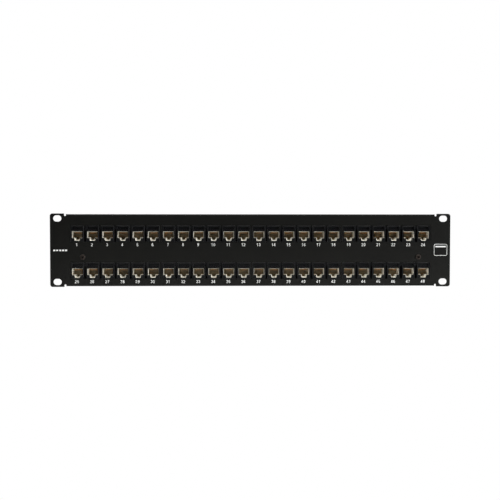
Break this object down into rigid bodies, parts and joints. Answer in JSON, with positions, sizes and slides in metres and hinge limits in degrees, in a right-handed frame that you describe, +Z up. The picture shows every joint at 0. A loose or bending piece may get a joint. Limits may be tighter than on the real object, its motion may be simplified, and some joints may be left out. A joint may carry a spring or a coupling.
{
  "type": "patch panel",
  "caption": "Rack-mount patch panel: folded black steel front with two rows of modular sockets, punch-down terminals and a cable tie bar behind.",
  "frame": {"origin": "centre of the four rack slots, on the rear face of the ears, which is the face that meets the rack", "axes": "+X to the right seen from the front, +Y to the rear, +Z up; the front faces -Y"},
  "size_m": [0.4826, 0.0786, 0.0882],
  "materials": {
    "panel_steel": "fine-textured black powder coat",
    "black_plastic": "satin moulded black plastic",
    "ivory_plastic": "satin ivory plastic",
    "comb_plastic": "matt tan plastic",
    "contact_gold": "gold flash over phosphor bronze",
    "board_laminate": "green solder mask over glass laminate",
    "terminal_plastic": "satin off-white plastic",
    "clip_metal": "bright tin over phosphor bronze",
    "rivet_metal": "dark burnished steel",
    "plated_steel": "bright zinc plate"
  },
  "bodies": {
    "panel": {"bracket_left": "panel_steel", "bracket_right": "panel_steel", "bracket_rivets": "rivet_metal", "circuit_board_01_06": "board_laminate", "circuit_board_07_12": "board_laminate", "circuit_board_13_18": "board_laminate", "circuit_board_19_24": "board_laminate", "circuit_board_25_30": "board_laminate", "circuit_board_31_36": "board_laminate", "circuit_board_37_42": "board_laminate", "circuit_board_43_48": "board_laminate", "contact_combs_lower": "comb_plastic", "contact_combs_upper": "comb_plastic", "front_panel": "panel_steel", "idc_block_01_06": "terminal_plastic", "idc_block_07_12": "terminal_plastic", "idc_block_13_18": "terminal_plastic", "idc_block_19_24": "terminal_plastic", "idc_block_25_30": "terminal_plastic", "idc_block_31_36": "terminal_plastic", "idc_block_37_42": "terminal_plastic", "idc_block_43_48": "terminal_plastic", "idc_clips_01_06": "clip_metal", "idc_clips_07_12": "clip_metal", "idc_clips_13_18": "clip_metal", "idc_clips_19_24": "clip_metal", "idc_clips_25_30": "clip_metal", "idc_clips_31_36": "clip_metal", "idc_clips_37_42": "clip_metal", "idc_clips_43_48": "clip_metal", "jack_housing_01_06": "black_plastic", "jack_housing_07_12": "black_plastic", "jack_housing_13_18": "black_plastic", "jack_housing_19_24": "black_plastic", "jack_housing_25_30": "black_plastic", "jack_housing_31_36": "black_plastic", "jack_housing_37_42": "black_plastic", "jack_housing_43_48": "black_plastic", "jack_liners_01_06": "ivory_plastic", "jack_liners_07_12": "ivory_plastic", "jack_liners_13_18": "ivory_plastic", "jack_liners_19_24": "ivory_plastic", "jack_liners_25_30": "ivory_plastic", "jack_liners_31_36": "ivory_plastic", "jack_liners_37_42": "ivory_plastic", "jack_liners_43_48": "ivory_plastic", "tie_bar": "panel_steel", "tie_bar_nuts": "plated_steel", "tie_bar_screws": "plated_steel"},
    "contacts_01_06": {"contact_springs_01_06": "contact_gold"},
    "contacts_07_12": {"contact_springs_07_12": "contact_gold"},
    "contacts_13_18": {"contact_springs_13_18": "contact_gold"},
    "contacts_19_24": {"contact_springs_19_24": "contact_gold"},
    "contacts_25_30": {"contact_springs_25_30": "contact_gold"},
    "contacts_31_36": {"contact_springs_31_36": "contact_gold"},
    "contacts_37_42": {"contact_springs_37_42": "contact_gold"},
    "contacts_43_48": {"contact_springs_43_48": "contact_gold"}
  },
  "joints": [
    {"name": "contact_flex_01_06", "type": "hinge", "parent": "panel", "child": "contacts_01_06", "pos_m": [-0.1635, 0.0022, 0.02152], "axis": [1, 0, 0], "range_deg": [0, 10], "stiffness_Nm_per_rad": 2.5},
    {"name": "contact_flex_07_12", "type": "hinge", "parent": "panel", "child": "contacts_07_12", "pos_m": [-0.0545, 0.0022, 0.02152], "axis": [1, 0, 0], "range_deg": [0, 10], "stiffness_Nm_per_rad": 2.5},
    {"name": "contact_flex_13_18", "type": "hinge", "parent": "panel", "child": "contacts_13_18", "pos_m": [0.0545, 0.0022, 0.02152], "axis": [1, 0, 0], "range_deg": [0, 10], "stiffness_Nm_per_rad": 2.5},
    {"name": "contact_flex_19_24", "type": "hinge", "parent": "panel", "child": "contacts_19_24", "pos_m": [0.1635, 0.0022, 0.02152], "axis": [1, 0, 0], "range_deg": [0, 10], "stiffness_Nm_per_rad": 2.5},
    {"name": "contact_flex_25_30", "type": "hinge", "parent": "panel", "child": "contacts_25_30", "pos_m": [-0.1635, 0.0022, -0.02293], "axis": [1, 0, 0], "range_deg": [0, 10], "stiffness_Nm_per_rad": 2.5},
    {"name": "contact_flex_31_36", "type": "hinge", "parent": "panel", "child": "contacts_31_36", "pos_m": [-0.0545, 0.0022, -0.02293], "axis": [1, 0, 0], "range_deg": [0, 10], "stiffness_Nm_per_rad": 2.5},
    {"name": "contact_flex_37_42", "type": "hinge", "parent": "panel", "child": "contacts_37_42", "pos_m": [0.0545, 0.0022, -0.02293], "axis": [1, 0, 0], "range_deg": [0, 10], "stiffness_Nm_per_rad": 2.5},
    {"name": "contact_flex_43_48", "type": "hinge", "parent": "panel", "child": "contacts_43_48", "pos_m": [0.1635, 0.0022, -0.02293], "axis": [1, 0, 0], "range_deg": [0, 10], "stiffness_Nm_per_rad": 2.5}
  ]
}
